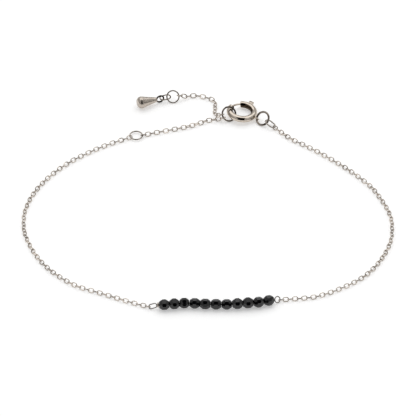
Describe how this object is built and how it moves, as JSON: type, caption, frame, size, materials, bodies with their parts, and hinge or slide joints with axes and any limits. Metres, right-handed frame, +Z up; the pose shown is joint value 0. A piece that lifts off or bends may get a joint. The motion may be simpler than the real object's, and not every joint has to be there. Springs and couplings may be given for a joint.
{
  "type": "gemstone bracelet",
  "caption": "Fine cable chain bracelet with a bar of faceted black beads, a spring ring clasp, an adjuster chain and a cone drop.",
  "frame": {"origin": "middle of the bracelet's footprint, on the surface that it lies on", "axes": "+X to the clasp side's right as seen from the beads, +Y from the beads towards the clasp, +Z up"},
  "size_m": [0.0666, 0.0592, 0.0022],
  "materials": {
    "silver": "polished",
    "stone": "faceted and polished",
    "thread": "drawn wire"
  },
  "bodies": {
    "bracelet": {"left_chain": "silver", "right_chain": "silver", "adjuster_chain": "silver", "tail_chain": "silver", "clasp_ring": "silver", "drop_tag": "silver", "crimp_collar": "silver", "hook_ring": "silver", "size_ring": "silver", "clasp_link": "silver", "chain_link": "silver", "drop_ring": "silver", "drop_link": "silver", "bead_wire": "thread", "bead_01": "stone", "bead_02": "stone", "bead_03": "stone", "bead_04": "stone", "bead_05": "stone", "bead_06": "stone", "bead_07": "stone", "bead_08": "stone", "bead_09": "stone", "bead_10": "stone", "bead_11": "stone"},
    "gate": {"clasp_gate": "silver"}
  },
  "joints": [
    {"name": "gate_turn", "type": "hinge", "parent": "bracelet", "child": "gate", "pos_m": [0.00615, 0.02422, 0.00083], "axis": [0.0971, 0.0494, 0.9941], "range_deg": [-55, 0], "stiffness_Nm_per_rad": 0.0015, "springref_deg": 28.65}
  ]
}
